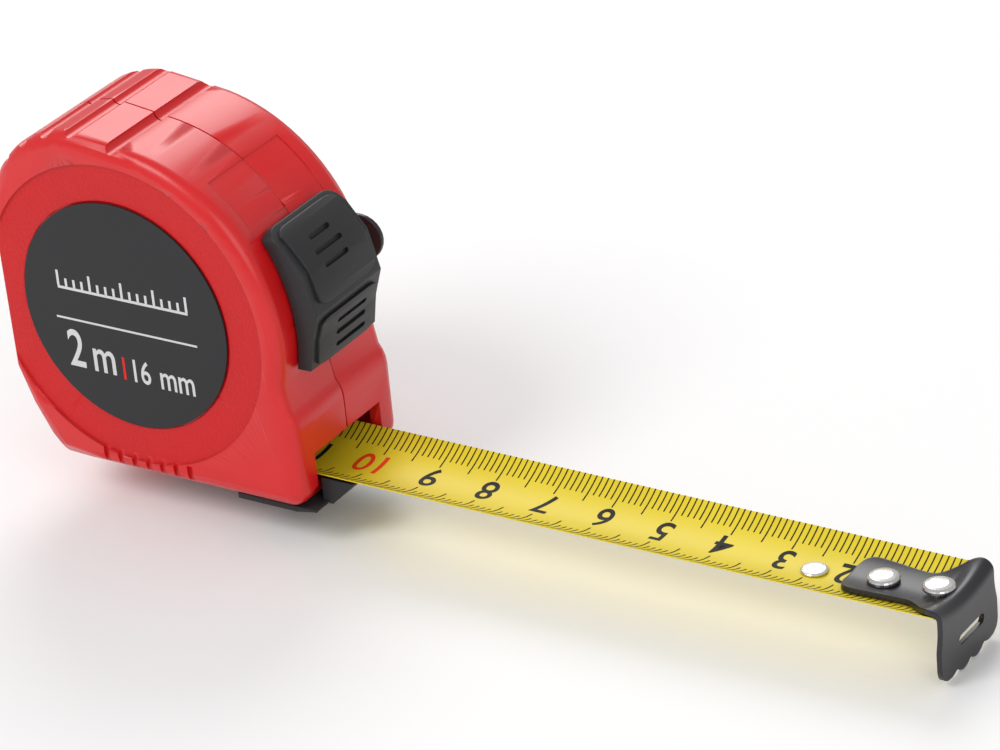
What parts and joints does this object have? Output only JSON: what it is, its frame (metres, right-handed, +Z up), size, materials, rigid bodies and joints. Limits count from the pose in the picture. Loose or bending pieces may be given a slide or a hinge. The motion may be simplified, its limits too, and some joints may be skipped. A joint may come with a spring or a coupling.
{
  "type": "tape measure",
  "caption": "Pocket tape measure: rounded split case, thumb lock, belt clip and a curved steel blade with a printed scale and a riveted end hook.",
  "frame": {"origin": "on the underside of the front foot, straight below the reel's axis, on the case's middle plane", "axes": "+X the way the blade pulls out, +Y towards the belt clip, +Z up through the crown of the case"},
  "size_m": [0.1561, 0.0316, 0.0629],
  "materials": {
    "case_red": "satin moulded plastic with a fine grained ring round the label",
    "label_black": "satin",
    "lock_black": "satin",
    "bumper_black": "matte",
    "blade_yellow": "satin lacquer over print",
    "hook_black": "satin",
    "clip_black": "satin",
    "rivet_bright": "polished",
    "screw_steel": "satin",
    "spring_steel": "satin",
    "reel_grey": "matte"
  },
  "bodies": {
    "case": {"case_left": "case_red", "case_right": "case_red", "case_screw_1": "screw_steel", "case_screw_2": "screw_steel", "case_screw_3": "screw_steel", "case_screw_4": "screw_steel", "label": "label_black", "front_bumper": "bumper_black", "spindle": "screw_steel", "mainspring": "spring_steel", "lock_spring": "spring_steel", "belt_clip": "clip_black", "belt_clip_screw": "screw_steel"},
    "reel": {"reel_drum": "reel_grey", "reel_cover": "reel_grey", "blade_coil": "blade_yellow"},
    "blade": {"blade_front": "blade_yellow", "blade_rear": "blade_yellow", "blade_rivet": "rivet_bright", "hook_rivet_front": "rivet_bright", "hook_rivet_rear": "rivet_bright"},
    "hook": {"hook": "hook_black"},
    "lock": {"lock_button": "lock_black", "lock_shoe": "lock_black"}
  },
  "joints": [
    {"name": "reel_spin", "type": "hinge", "parent": "case", "child": "reel", "pos_m": [0, 0, 0.0281], "axis": [0, -1, 0], "range_deg": [-312, 81], "deforming": ["mainspring"]},
    {"name": "blade_pull", "type": "slide", "parent": "case", "child": "blade", "axis": [1, 0, 0], "range_m": [-0.0961, 0.0251], "deforming": ["blade_rear"]},
    {"name": "hook_play", "type": "slide", "parent": "blade", "child": "hook", "axis": [1, 0, 0], "range_m": [-0.0004, 0.0004]},
    {"name": "lock_slide", "type": "hinge", "parent": "case", "child": "lock", "pos_m": [0, 0, 0.0281], "axis": [0, -1, 0], "range_deg": [0, 14]}
  ],
  "couplings": [
    {"joint": "blade_pull", "follows": "reel_spin", "m_per_rad": 0.0176}
  ]
}
